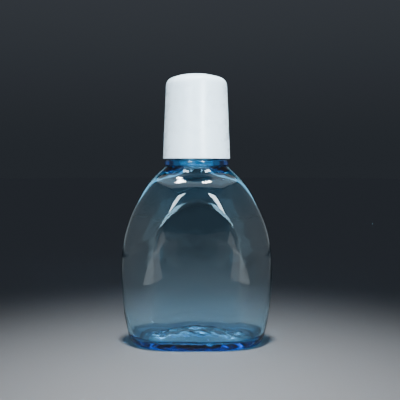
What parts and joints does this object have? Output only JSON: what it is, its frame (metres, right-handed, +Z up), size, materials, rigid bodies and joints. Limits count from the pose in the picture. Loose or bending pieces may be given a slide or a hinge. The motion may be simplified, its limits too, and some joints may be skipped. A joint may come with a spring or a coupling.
{
  "type": "contact lens solution bottle",
  "caption": "Small oval clear-blue squeeze bottle with flat arched front and back panels, a drip nozzle pressed into its neck, and a tall white tapered screw cap.",
  "frame": {"origin": "centre of the footprint, on the plane the bottle stands on", "axes": "+Z up along the neck and cap axis, +X along the wide side of the oval body, +Y from the front panel to the back panel"},
  "size_m": [0.0356, 0.0158, 0.0624],
  "materials": {
    "bottle": "clear blown PET with a light blue tint, deepest in the thick neck, shoulder and base",
    "nozzle_plug": "milky natural LDPE, satin",
    "inner_cap": "white moulded polyethylene, satin",
    "outer_cap": "smooth glossy white polypropylene",
    "tip_seal": "soft matt off-white elastomer"
  },
  "bodies": {
    "bottle": {"bottle": "bottle", "nozzle_plug": "nozzle_plug"},
    "tip_seal": {"tip_seal": "tip_seal"},
    "cap": {"inner_cap": "inner_cap", "outer_cap": "outer_cap"}
  },
  "joints": [
    {"name": "cap_lift", "type": "slide", "parent": "bottle", "child": "tip_seal", "axis": [0, 0, 1], "range_m": [0, 0.02]},
    {"name": "cap_turn", "type": "hinge", "parent": "tip_seal", "child": "cap", "pos_m": [0, 0, 0], "axis": [0, 0, 1], "range_deg": [0, 2880]}
  ],
  "couplings": [
    {"joint": "cap_turn", "follows": "cap_lift", "rad_per_m": 2513.3}
  ]
}
